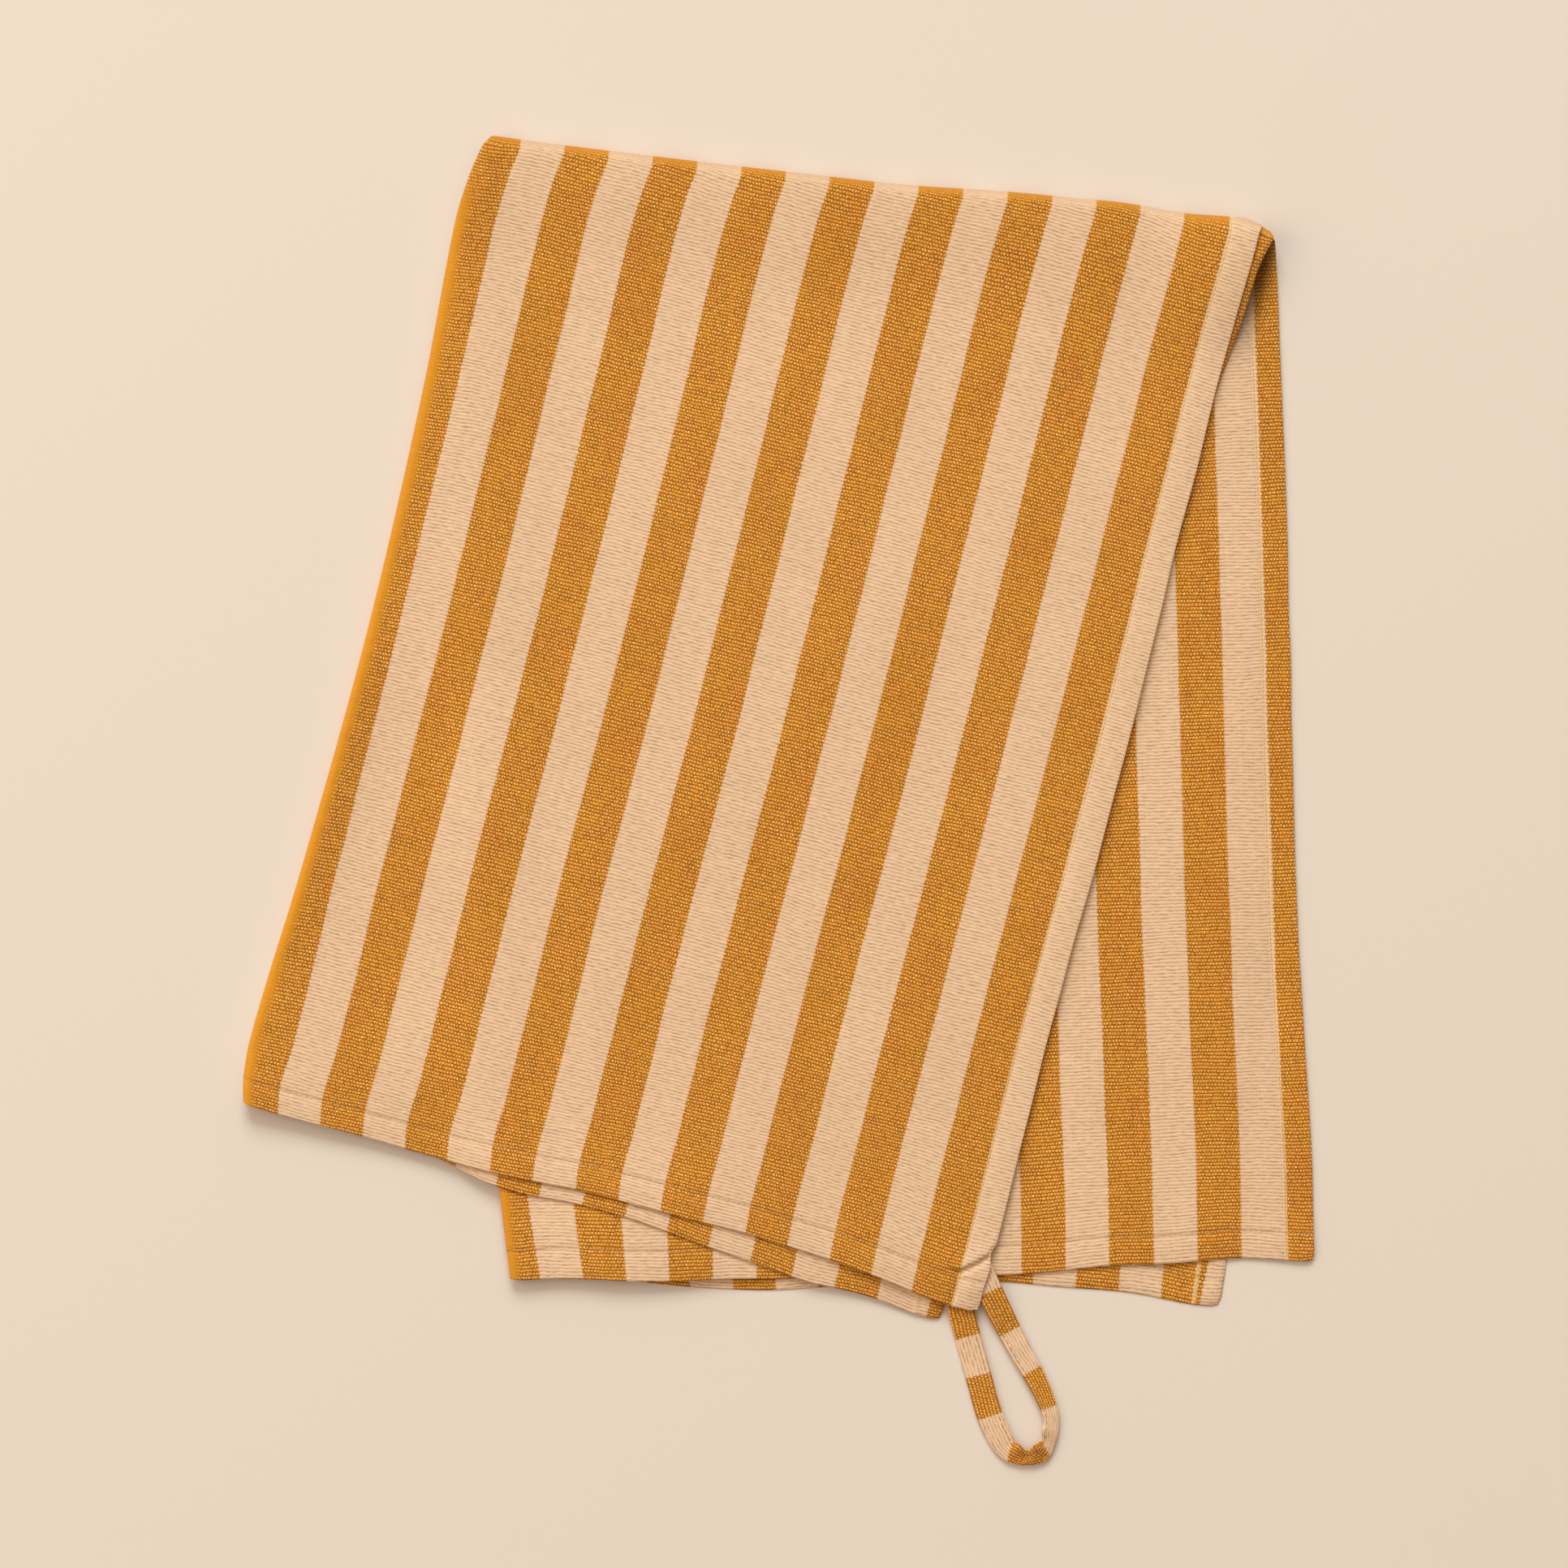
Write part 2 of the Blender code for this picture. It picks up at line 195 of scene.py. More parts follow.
# Where a pair of layers is puffed up between its two cloths, by how much each way.
puffs = (
    Swell("front", "both", 224.0, 0.00, 46.0, 0.20, 0.8),
    Swell("back", "both", 214.0, 0.00, 46.0, 0.16, 0.75),
)


def lineOf(side, line, run):
    rows = stations[side]
    runs = [row.run for row in rows]
    return Vector([smooth(runs, [getattr(row, line)[axis] for row in rows], run) for axis in (0, 1)])


def readRow(side, run):
    # everything that stays the same along one row of the cloth
    rows = stations[side]
    runs = [row.run for row in rows]
    row = {"side": side, "run": run}
    for line in ("rim", "crease", "tuck"):
        row[line] = lineOf(side, line, run)
    for column in ("rimAt", "creaseAt", "tuckAt", "roll"):
        row[column] = smooth(runs, [getattr(station, column) for station in rows], run)
    row["backCrease"] = lineOf("back", "crease", run).x
    return row


foldLine = (lineOf("front", "rim", 1.0) - lineOf("front", "crease", 1.0)).normalized()
foldOut = Vector((-foldLine.y, foldLine.x))
toHem = {
    (side, line): (lineOf(side, line, 0.0) - lineOf(side, line, 1.0)).normalized()
    for side in ("front", "back")
    for line in ("rim", "tuck")
}


def halfWidth(row, half):
    return row["creaseAt"] - row["rimAt"] if half == "outer" else row["tuckAt"] - row["creaseAt"]


def creaseProfile(distance, roll):
    # cloth at this distance from the crease: its way in from the outline, and its half height
    flat = stack["pairRise"]
    swell = flat + (roll - flat) * (1.0 - ease(distance / stack["rollReach"]))
    quarter = 0.5 * math.pi * roll
    if distance >= quarter:
        return roll + distance - quarter, swell, swell
    turn = distance / roll
    return roll * (1.0 - math.cos(turn)), swell * math.sin(turn), swell


def edgeShape(fromEdge, seamAt, along):
    # how far the right side lies below the flat cloth near an edge, and the cloth's thickness there
    drop = -cloth["hemPuff"] * bump((fromEdge - 0.5 * seamAt) / (0.5 * seamAt))
    pucker = 0.75 + 0.25 * math.cos(along * 2.0 * math.pi / cloth["puckerPitch"])
    drop += cloth["seamDepth"] * pucker * bump((fromEdge - seamAt) / cloth["seamWidth"])
    thick = cloth["thick"]
    if fromEdge < seamAt + 0.4:
        thick = cloth["hemThick"] - cloth["seamPull"] * bump((fromEdge - seamAt) / 0.8)
    rounded = cloth["edgeRound"]
    if fromEdge < rounded:
        share = math.sqrt(max(1.0 - (1.0 - fromEdge / rounded) ** 2, 0.02))
        drop += 0.25 * thick * (1.0 - share)
        thick *= share
    return drop, thick


def cornerShape(fromSide, fromHem):
    # how far the corner over the loop's ends lies below the flat cloth
    beyond = fromHem - loopCorner["grooveAt"] - loopCorner["grooveSlope"] * (9.7 - fromSide)
    inHem = 1.0 - ease((fromSide - 9.5) / 2.0)
    drop = loopCorner["grooveDepth"] * inHem * bump(beyond / (0.9 if beyond > 0.0 else 2.6))
    drop -= loopCorner["lap"] * inHem * ease(beyond / 0.9) * bump(beyond / 8.0)
    return drop - loopCorner["puff"] * bump((fromSide - 4.8) / 5.0) * bump((fromHem - 5.2) / 6.5)


def waveShift(waves, fromSide):
    return sum(shift * bump((fromSide - at) / reach) for at, reach, shift in waves)


def swellLift(row, half, fromSide, placed):
    total = 0.0
    for swell in placed:
        if swell.side == row["side"] and swell.half in (half, "both"):
            across = bump((fromSide - swell.fromSide) / swell.across)
            total += swell.lift * across * bump((row["run"] - swell.run) / swell.along)
    return total


def edgeWobble(row, half, along, seed):
    # hems are never quite straight
    where = Vector((along / 26.0, seed + 3.7 * (row["side"] == "back"), 5.1 * (half == "inner")))
    return cloth["wobble"] * noise.noise(where)


def planOf(row, half, distance):
    # where cloth at this distance from the crease lies, seen from above
    line = "rim" if half == "outer" else "tuck"
    crease, hem = row["crease"], row[line]
    away = toHem[row["side"], line]
    across = (hem - crease).normalized()
    slant = abs(across.x * away.y - across.y * away.x)
    width = halfWidth(row, half)
    slack = creaseProfile(width, row["roll"])[0] / slant - (hem - crease).length
    taken = distance / width if half == "outer" else ease(distance / stack["slackReach"])
    wayIn = creaseProfile(distance, row["roll"])[0] / slant - slack * taken
    fromSide = width - distance
    fromHem = row["run"] * 0.5 * cloth["length"]
    fromFold = (1.0 - row["run"]) * 0.5 * cloth["length"]
    place = crease + across * wayIn
    hemShare = 1.0 - ease(fromHem / stack["waveFade"])
    foldShare = 1.0 - ease(fromFold / stack["waveFade"])
    place += away * waveShift(hemWaves[row["side"], half], fromSide) * hemShare
    place += foldOut * waveShift(foldWaves, fromSide) * foldShare
    place += away * edgeWobble(row, half, distance, 0.0) * bump(fromHem / cloth["wobbleReach"])
    place += across * edgeWobble(row, half, fromHem, 9.0) * bump(fromSide / cloth["wobbleReach"])
    # the hemmed corners are rounded
    rounding = bump(fromSide / cloth["cornerRound"]) * bump(fromHem / cloth["cornerRound"])
    place -= (across + away) * 0.6 * rounding
    if row["side"] == "front" and half == "outer":
        step = sum(depth * bump((fromHem - at) / reach) for at, reach, depth in loopCorner["drawnIn"])
        place -= across * step * bump(fromSide / 9.0)
    return place


backRows = [readRow("back", k / 120) for k in range(121)]


def liftOver(plan):
    # the front pair rides over the back pair's crease, which is thicker than the rest
    low, high = backRows[0]["crease"].y, backRows[-1]["crease"].y
    run = min(max((plan.y - low) / (high - low), 0.0), 1.0)
    row = backRows[round(run * (len(backRows) - 1))]
    off = plan.x - row["crease"].x
    crease = 2.0 * (row["roll"] - stack["pairRise"]) * (1.0 - ease(abs(off) / stack["rollReach"]))
    fromSide = halfWidth(row, "inner") - max(off, 0.0)
    over = swellLift(row, "inner", fromSide, swells) + 2.0 * swellLift(row, "inner", fromSide, puffs)
    return crease + over * (1.0 - ease(-off / stack["droopReach"]))


def middleOf(row, half, distance, plan):
    # height of the middle of a pair of layers, and the half height of the cloth's face from it
    rise, swell = creaseProfile(distance, row["roll"])[1:]
    fromSide = halfWidth(row, half) - distance
    lift = swellLift(row, half, fromSide, swells)
    puff = swellLift(row, half, fromSide, puffs)
    rise += puff * rise / swell
    swell += puff
    if row["side"] == "back":
        if half == "inner":
            # the bottom layer ends here, a little aslant
            past = plan.x - (row["rim"].x - 4.0) + 0.06 * (plan.y - row["rim"].y)
            lift -= stack["sag"] * ease(past / stack["sagReach"])
        return swell + lift, rise
    fromFold = (1.0 - row["run"]) * 0.5 * cloth["length"]
    resting = 3.0 * stack["pairRise"] + stack["gap"]
    atFold = stack["pairRise"] + 2.0 * stack["bendRadius"]
    middle = resting + (atFold - resting) * (1.0 - ease(fromFold / stack["bendReach"]))
    beyond = row["backCrease"] - plan.x
    lift += liftOver(plan) * ease(fromFold / stack["bendReach"])
    middle += lift - stack["droop"] * ease(beyond / stack["droopReach"])
    # the crease is thicker than the rest, and rests on the surface too
    return max(middle, swell), rise


def layerPlace(row, half, distance, drop=0.0):
    # a point of the cloth's right side in one of the four flat layers
    plan = planOf(row, half, distance)
    middle, rise = middleOf(row, half, distance, plan)
    up = 1.0 if (row["side"] == "front") == (half == "outer") else -1.0
    return Vector((plan.x, plan.y, max(middle + up * (rise - drop), 0.0)))


frontTop = readRow("front", 1.0)
backTop = readRow("back", 1.0)


def bendPlace(half, share, distance, drop=0.0):
    # a point of the crosswise fold, from the upper layer, share 0, to the lower one, share 1
    front = layerPlace(frontTop, half, distance, drop)
    back = layerPlace(backTop, half, distance, drop)
    radius = 0.5 * (front.z - back.z)
    turn = math.pi * share
    fromSide = halfWidth(frontTop, half) - distance
    bulge = radius * math.sin(turn) * (1.0 - stack["endFlat"][half] * bump(fromSide / 6.0))
    inset = stack["endIn"][half] * bump(fromSide / 10.0) - stack["creaseOut"] * bump(distance / 12.0)
    plan = front.lerp(back, share).to_2d() + foldOut * bulge - foldLine * inset * math.sin(turn)
    return Vector((plan.x, plan.y, 0.5 * (front.z + back.z) + radius * math.cos(turn)))


def alongCloth(row, share, half, distance):
    # place along the cloth from the front end hem, for its weave
    reach, bend = stack["frontReach"], stack["bendHalf"]
    frontReach = reach["crease"] + (reach[half] - reach["crease"]) * distance / (0.5 * cloth["width"])
    bendHalf = bend[half] + (bend["crease"] - bend[half]) * (1.0 - ease(distance / stack["rollReach"]))
    if share is not None:
        return frontReach + bendHalf * (2.0 * share - 1.0)
    if row["side"] == "front":
        return row["run"] * (frontReach - bendHalf)
    return cloth["length"] - row["run"] * (cloth["length"] - frontReach - bendHalf)


def edgeSteps(seamAt):
    # distances from an edge at which the cloth is divided, close together round the edge and at the seam
    steps = [cloth["edgeRound"] * (1.0 - math.cos(0.5 * math.pi * k / 4)) for k in range(5)]
    steps += [1.7, 2.7, 3.7, 4.8, 5.9, 7.0]
    steps += [seamAt + cloth["seamWidth"] * k for k in (-1.0, -0.5, 0.0, 0.45, 0.65, 1.0)]
    return steps


def clothRows():
    # (row, bend share, distance from the end hem) from the front end hem over the fold to the back one
    halfLength = 0.5 * cloth["length"]
    # the rows stay close together as far as the groove in the loop's corner
    steps = edgeSteps(cloth["endHem"]) + [11.0 + 0.5 * k for k in range(25)]
    count = round((halfLength - steps[-1]) / cloth["rowStep"])
    shares = [1.0 - (1.0 - k / count) ** 1.15 for k in range(1, count + 1)]
    fromHem = steps + [steps[-1] + (halfLength - steps[-1]) * share for share in shares]
    for distance in fromHem:
        yield readRow("front", distance / halfLength), None, distance
    for k in range(1, cloth["bendSteps"]):
        yield frontTop, k / cloth["bendSteps"], halfLength
    for distance in reversed(fromHem):
        yield readRow("back", distance / halfLength), None, distance


def rowSteps(row, half):
    # distances from the crease at which one half of a row is divided
    quarter = 0.5 * math.pi * row["roll"]
    width = halfWidth(row, half)
    steps = [quarter * k / cloth["rollSteps"] for k in range(cloth["rollSteps"] + 1)]
    near, far = stack["rollReach"], width - edgeSteps(cloth["sideHem"])[-1]
    for start, end, count in ((quarter, near, cloth["rollColumns"]), (near, far, cloth["columns"])):
        steps += [start + (end - start) * k / count for k in range(1, count + 1)]
    return steps + [width - step for step in reversed(edgeSteps(cloth["sideHem"])[:-1])]


# Painted shade in the open end of the fold: the cloth's colour is darkened as far as level, and this painted
# shade fades out over fade and reach.
openEndPaintedShade = {"slope": 0.12, "reach": 5.0, "level": 10.0, "fade": 42.0}
# Where the crossing threads hide: to this distance from the crease in front and at the back, faded and uneven,
# and along the crest of the crosswise fold. From pressed on, the front crease is flatter towards that fold.
bareBand = {
    "front": 3.1,
    "back": 1.8,
    "fade": 2.8,
    "uneven": 1.3,
    "pressed": 316.0,
    "pressedReach": 22.0,
    "backFrom": 345.0,
    "crest": 0.72,
}
ClothPoint = namedtuple("ClothPoint", "place thick cloth hem distance share mouth")


def paintedMouthShade(row, share, half, place):
    # how much painted shade darkens the cloth's colour: 1 deep in the open end of the fold, where the cloth
    # sees little but its own dark gold, 0 in the open
    if half == "outer" or (share is None and row["side"] == "front"):
        return 0.0
    fromFold = 0.0 if share is not None else (1.0 - row["run"]) * 0.5 * cloth["length"]
    off = place.x - lineOf("front", "tuck", row["run"]).x
    deep = 1.0 - ease((off - 0.5 - openEndPaintedShade["slope"] * fromFold) / openEndPaintedShade["reach"])
    return deep * (1.0 - ease((fromFold - openEndPaintedShade["level"]) / openEndPaintedShade["fade"]))


def clothPoint(row, share, half, distance, fromHem):
    fromSide = halfWidth(row, half) - distance
    along = alongCloth(row, share, half, distance)
    across = row["creaseAt"] + distance * (1.0 if half == "inner" else -1.0)
    dropSide, thickSide = edgeShape(fromSide, cloth["sideHem"], along)
    dropEnd, thickEnd = edgeShape(fromHem, cloth["endHem"], distance)
    drop = max(dropSide, dropEnd) if max(dropSide, dropEnd) > 0.0 else min(dropSide, dropEnd)
    if row["side"] == "front" and half == "outer" and fromSide > cloth["edgeRound"]:
        drop += cornerShape(fromSide, fromHem)
    if min(fromSide, fromHem) < cloth["edgeRound"]:
        thick = min(thickSide, thickEnd)
    else:
        block = bump((fromSide - 4.4) / 4.6) * bump((fromHem - 4.6) / 5.5)
        thick = max(thickSide, thickEnd) + (cloth["cornerThick"] - cloth["hemThick"]) * block
    if share is None:
        place = layerPlace(row, half, distance, drop)
    else:
        place = bendPlace(half, share, distance, drop)
    # the share of painted shade for the open end of the fold
    mouthPaintedShadeShare = paintedMouthShade(row, share, half, place)
    return ClothPoint(place, thick, (across, along), (fromSide, fromHem), distance, share, mouthPaintedShadeShare)


def threadsHidden(point):
    # bare is 1 where a fold's stretched outside hides the crossing threads; the crest share is 1 along the
    # crest, which is rubbed and is also painted darker as painted shade
    along = point.cloth[1]
    front = along < bareBand["backFrom"]
    uneven = bareBand["uneven"] * noise.noise(Vector((along / 9.0, 4.0, 0.0)))
    reach = bareBand["front" if front else "back"]
    bare = 1.0 - ease((point.distance + uneven - reach) / bareBand["fade"])
    if front:
        bare *= ease((bareBand["pressed"] - along) / bareBand["pressedReach"])
    crestWearAndShade = 0.0 if point.share is None else ease(point.share / 0.3) * ease((0.8 - point.share) / 0.3)
    return max(bare, bareBand["crest"] * crestWearAndShade), crestWearAndShade


def setMaps(mesh, maps):
    # gives every point its place on the flat cloth and its distances from the cloth's edges
    corner = np.empty(len(mesh.loops), dtype=np.int32)
    mesh.loops.foreach_get("vertex_index", corner)
    mesh.uv_layers[0].name = "cloth"
    mesh.uv_layers.new(name="hem")
    for name, values in maps.items():
        mesh.uv_layers[name].data.foreach_set("uv", (np.array(values) * mm)[corner].ravel())


def foldTowel(rightSideCotton, wrongSideCotton):
    # a flat grid is laid down as cut, then every point goes to its place in the folded towel
    rows = []
    for row, share, fromHem in clothRows():
        points = []
        for half in ("inner", "outer"):
            steps = rowSteps(row, half)
            steps = list(reversed(steps)) if half == "inner" else steps[1:]
            points += [clothPoint(row, share, half, distance, fromHem) for distance in steps]
        rows.append(points)
    lastRow, lastColumn = len(rows) - 1, len(rows[0]) - 1

    deselectAll()
    bpy.ops.mesh.primitive_grid_add(x_subdivisions=lastColumn, y_subdivisions=lastRow, size=1.0, calc_uvs=True)
    towel = bpy.context.object
    towel.name = towel.data.name = "striped_towel"
    mesh = towel.data
    points = []
    for vert in mesh.vertices:
        column = round((vert.co.x + 0.5) * lastColumn)
        row = round((vert.co.y + 0.5) * lastRow)
        points.append(rows[row][column])
    mesh.vertices.foreach_set("co", np.array([point.place for point in points]).ravel() * mm)
    setMaps(mesh, {name: [getattr(point, name) for point in points] for name in ("cloth", "hem")})
    hidden = [threadsHidden(point) for point in points]
    shares = {"bare": [bare for bare, _ in hidden], "crestWearAndShade": [crestWearAndShade for _, crestWearAndShade in hidden]}
    shares["mouth"] = [point.mouth for point in points]
    for name, values in shares.items():
        mesh.attributes.new(name, "FLOAT", "POINT").data.foreach_set("value", values)

    mesh.materials.append(rightSideCotton)
    mesh.materials.append(wrongSideCotton)
    thickness = towel.vertex_groups.new(name="thickness")
    for index, point in enumerate(points):
        thickness.add([index], point.thick / cloth["cornerThick"], "REPLACE")
    solidify = towel.modifiers.new("thickness", "SOLIDIFY")
    solidify.thickness = cloth["cornerThick"] * mm
    solidify.offset = -1.0
    solidify.vertex_group = "thickness"
    solidify.material_offset = 1
    bpy.ops.object.modifier_apply(modifier="thickness")
    bpy.ops.object.shade_smooth()
    return towel


# The loop is a folded, edge-stitched tape, in millimetres. Stops are chosen along its middle. tilt turns the
# tape about that line, its inner edge upwards, rise lifts its lowest edge off the surface, and wide is the
# share of its full width.
tape = {"cut": 25.0, "width": 8.4, "thick": 1.1, "clear": 0.25, "step": 0.7, "columns": 14, "seam": 1.5}
Stop = namedtuple("Stop", "x y tilt rise wide")
loopStops = (
    Stop(59.0, -160.6, 0.0, 1.9, 1.00),
    Stop(59.9, -166.4, 0.0, 1.0, 1.00),
    Stop(62.1, -174.8, 2.0, 0.2, 1.00),
    Stop(65.5, -187.4, 3.0, 0.0, 1.00),
    Stop(69.5, -201.0, 4.0, 0.0, 1.00),
    Stop(73.8, -209.5, 7.0, 0.0, 0.93),
    Stop(76.9, -212.4, 12.0, 0.0, 0.78),
    Stop(81.2, -213.5, 16.0, 0.0, 0.64),
    Stop(85.3, -212.3, 16.0, 0.1, 0.74),
    Stop(88.4, -206.9, 14.0, 0.2, 0.62),
    Stop(89.0, -200.6, 11.0, 0.1, 0.64),
    Stop(87.0, -194.2, 9.0, 0.0, 0.71),
    Stop(83.4, -186.7, 7.0, 0.0, 0.81),
    Stop(79.2, -179.4, 5.0, 0.1, 0.86),
    Stop(75.3, -172.0, 3.0, 0.3, 0.92),
    Stop(70.3, -162.2, 2.0, 1.5, 1.00),
    Stop(65.0, -150.4, 0.0, 2.25, 1.00),
)
# The tape is too wide for its bend, so its inner edge gathers into uneven pleats: rise lifts it, inset pushes
# it towards the eye of the loop, or away from it.
Pleat = namedtuple("Pleat", "at reach rise inset")
pleats = (
    Pleat(52.6, 2.0, -0.3, -0.4),
    Pleat(56.0, 3.0, 0.7, 0.8),
    Pleat(59.8, 2.2, -0.5, -0.5),
    Pleat(62.2, 1.6, 0.3, 0.3),
    Pleat(65.0, 2.9, 0.75, 0.85),
    Pleat(68.3, 2.1, -0.4, -0.5),
    Pleat(72.2, 2.6, 0.5, 0.6),
)
# round the middle of the bend the inner edge takes up more of the cloth
gather = {"middle": 60.2, "reach": 16.0, "shear": 0.32, "crumple": 0.55}
# Where each band of the tape begins, and which thread of the cloth it was cut from is there.
bandStarts = (0.0, 14.0, 27.0, 40.8, 53.6, 66.8, 80.1, 93.2, 107.8, 122.4, 132.8)
bandThreads = (9.6, 23.4, 37.7, 52.1, 66.3, 80.7, 95.0, 109.4, 123.6, 138.0, 148.7)
loopPlaces = [0.0]
for a, b in zip(loopStops, loopStops[1:]):
    loopPlaces.append(loopPlaces[-1] + math.hypot(b.x - a.x, b.y - a.y))


def readLoop(column, at):
    return smooth(loopPlaces, [getattr(stop, column) for stop in loopStops], at)


def loopSection(at):
    # the tape's middle, its way across and its upward normal at this place along it
    before, after = max(at - 0.5, 0.0), min(at + 0.5, loopPlaces[-1])
    ahead = Vector([readLoop(axis, after) - readLoop(axis, before) for axis in ("x", "y")]).normalized()
    inward = Vector((-ahead.y, ahead.x, 0.0))
    tilt = math.radians(readLoop("tilt", at))
    half = 0.5 * tape["width"]
    height = tape["clear"] + max(readLoop("rise", at), 0.0)
    height += half * math.sin(tilt) + 0.5 * tape["thick"] * math.cos(tilt)
    middle = Vector((readLoop("x", at), readLoop("y", at), height))
    up = Vector((0.0, 0.0, 1.0))
    return middle, inward * math.cos(tilt) + up * math.sin(tilt), up * math.cos(tilt) - inward * math.sin(tilt)


def loopPoint(at, inner, out):
    # inner goes from -1 at the outer edge to 1 at the inner one, out from -1 below to 1 on top
    middle, across, normal = loopSection(at)
    half = 0.5 * tape["width"] * readLoop("wide", at)
    waver = 0.15 * noise.noise(Vector((at / 5.0, inner * 1.2, 3.0)))
    crumple = gather["crumple"] * bump((at - gather["middle"]) / 10.0)
    waver += crumple * noise.noise(Vector((at / 2.0, inner * 2.4, 8.0)))
    place = middle + across * half * inner + normal * waver
    for pleat in pleats:
        share = bump((at - pleat.at) / pleat.reach) * ease((inner + 0.7) / 1.5)
        place += normal * pleat.rise * share + across * pleat.inset * share
    return place + normal * 0.5 * tape["thick"] * out


def makeLoop():
    # the band's ring of points runs over its top face, round its inner edge and back under it
    count = round(loopPlaces[-1] / tape["step"])
    steps = tape["columns"]
    deselectAll()
    bpy.ops.mesh.primitive_grid_add(x_subdivisions=2 * steps, y_subdivisions=count, size=1.0, calc_uvs=True)
    loop = bpy.context.object
    loop.name = loop.data.name = "tape_loop"
    mesh = loop.data
    places, threads = [], []
    rounding = 0.5 * tape["thick"] / (0.5 * tape["width"])
    for vert in mesh.vertices:
        ring = 2.0 * math.pi * round((vert.co.x + 0.5) * 2 * steps) / (2 * steps)
        at = loopPlaces[-1] * (vert.co.y + 0.5)
        # a flattened ring: full width, with half round edges
        inner = math.copysign(abs(math.cos(ring)) ** 0.75, math.cos(ring))
        edge = max(abs(inner) - (1.0 - rounding), 0.0) / rounding
        out = math.sin(ring)
        out = math.copysign(math.sqrt(max(1.0 - edge * edge, 0.0)), out) if abs(out) > 1e-6 else 0.0
        places.append(loopPoint(at, inner, out) * mm)
        off = at - gather["middle"]
        taken = at - inner * gather["shear"] * off * bump(off / gather["reach"])
        across = smooth(bandStarts, bandThreads, taken)
        threads.append((across, 0.5 * tape["width"] * inner + 20.0))
    mesh.vertices.foreach_set("co", np.array(places).ravel())
    # the tape was cut far from the towel's hems
    setMaps(mesh, {"cloth": threads, "hem": [(50.0, 50.0)] * len(threads)})
    bpy.ops.object.mode_set(mode="EDIT")
    bpy.ops.mesh.select_all(action="SELECT")
    bpy.ops.mesh.remove_doubles(threshold=0.00001)
    bpy.ops.mesh.select_all(action="DESELECT")
    bpy.ops.mesh.select_non_manifold()
    bpy.ops.mesh.edge_face_add()
    bpy.ops.mesh.select_all(action="SELECT")
    bpy.ops.mesh.normals_make_consistent(inside=False)
    bpy.ops.object.mode_set(mode="OBJECT")
    bpy.ops.object.shade_smooth_by_angle(angle=math.radians(60))
    return loop


# One stitch is modelled, then laid along every seam. bend is what the crosswise fold adds to a side seam.
stitch = {"length": 1.25, "pitch": 1.75, "thick": 0.3, "sink": 0.1, "bend": 12.0, "start": 1.5}
loopStitch = {"length": 1.7, "pitch": 2.5, "start": 2.0}


def seamPoint(kind, which, at):
    # a point on the right side at this distance along a seam, and the way across the seam there
    halfLength = 0.5 * cloth["length"]
    if kind == "end":
        row = readRow(which, cloth["endHem"] / halfLength)
        fromCrease = row["creaseAt"] - row["rimAt"] - at
        return rightSide(row, None, "outer" if fromCrease > 0.0 else "inner", abs(fromCrease))
    if at < halfLength:
        row, share = readRow("front", at / halfLength), None
    elif at < halfLength + stitch["bend"]:
        row, share = frontTop, (at - halfLength) / stitch["bend"]
    else:
        row, share = readRow("back", max(cloth["length"] + stitch["bend"] - at, 0.0) / halfLength), None
    return rightSide(row, share, which, halfWidth(row, which) - cloth["sideHem"])


def rightSide(row, share, half, distance):
    # a place on the right side and the way across the cloth there
    def place(offset):
        if share is None:
            return layerPlace(row, half, distance + offset, cloth["seamDepth"])
        return bendPlace(half, share, distance + offset, cloth["seamDepth"])

    return place(0.0), place(0.6) - place(-0.6)


def makeStitches(name, thread, paths):
    # every stitch is a copy of one round-ended thread, set between two points and a little sunk at its ends
    deselectAll()
    bpy.ops.mesh.primitive_uv_sphere_add(segments=6, ring_count=5, radius=0.5)
    pattern = bpy.context.object
    shape = np.array([vert.co for vert in pattern.data.vertices])
    faces = [list(polygon.vertices) for polygon in pattern.data.polygons]
    bpy.data.meshes.remove(pattern.data)
    verts, polygons = [], []
    random.seed(7)
    for start, end, out in paths:
        ahead = end - start
        length = ahead.length
        ahead.normalize()
        out = (out - ahead * out.dot(ahead)).normalized()
        beside = ahead.cross(out)
        thick = stitch["thick"] * random.uniform(0.9, 1.1)
        turn = Matrix((beside * thick, out * thick, ahead * (length + 0.3))).transposed()
        middle = 0.5 * (start + end) + out * (0.5 * thick - stitch["sink"])
        offset = len(verts)
        for point in shape:
            verts.append((turn @ Vector(point) + middle) * mm)
        polygons += [[offset + index for index in face] for face in faces]
    mesh = bpy.data.meshes.new(name)
    mesh.from_pydata(verts, [], polygons)
    piece = bpy.data.objects.new(name, mesh)
    bpy.context.scene.collection.objects.link(piece)
    deselectAll()
    bpy.context.view_layer.objects.active = piece
    piece.select_set(True)
    bpy.ops.object.shade_smooth()
    mesh.materials.append(thread)
    return piece


def hemPaths():
    random.seed(3)
    paths = []
    for kind, which in (("side", "outer"), ("side", "inner"), ("end", "front"), ("end", "back")):
        length = cloth["length"] + stitch["bend"] if kind == "side" else cloth["width"]
        at = stitch["start"]
        while at + stitch["length"] < length - stitch["start"]:
            start, across = seamPoint(kind, which, at)
            end = seamPoint(kind, which, at + stitch["length"])[0]
            if kind == "side":
                out = (end - start).cross(across) * (-1.0 if which == "outer" else 1.0)
            else:
                upper = (which == "front") == (at < 0.5 * cloth["width"] - 1.0)
                out = Vector((0.0, 0.0, 1.0 if upper else -1.0))
            paths.append((start, end, out))
            # the same stitch on the wrong side
            through = out.normalized() * (cloth["hemThick"] - 0.25)
            paths.append((start - through, end - through, -out))
            at += stitch["pitch"] * random.uniform(0.96, 1.05)
    return paths


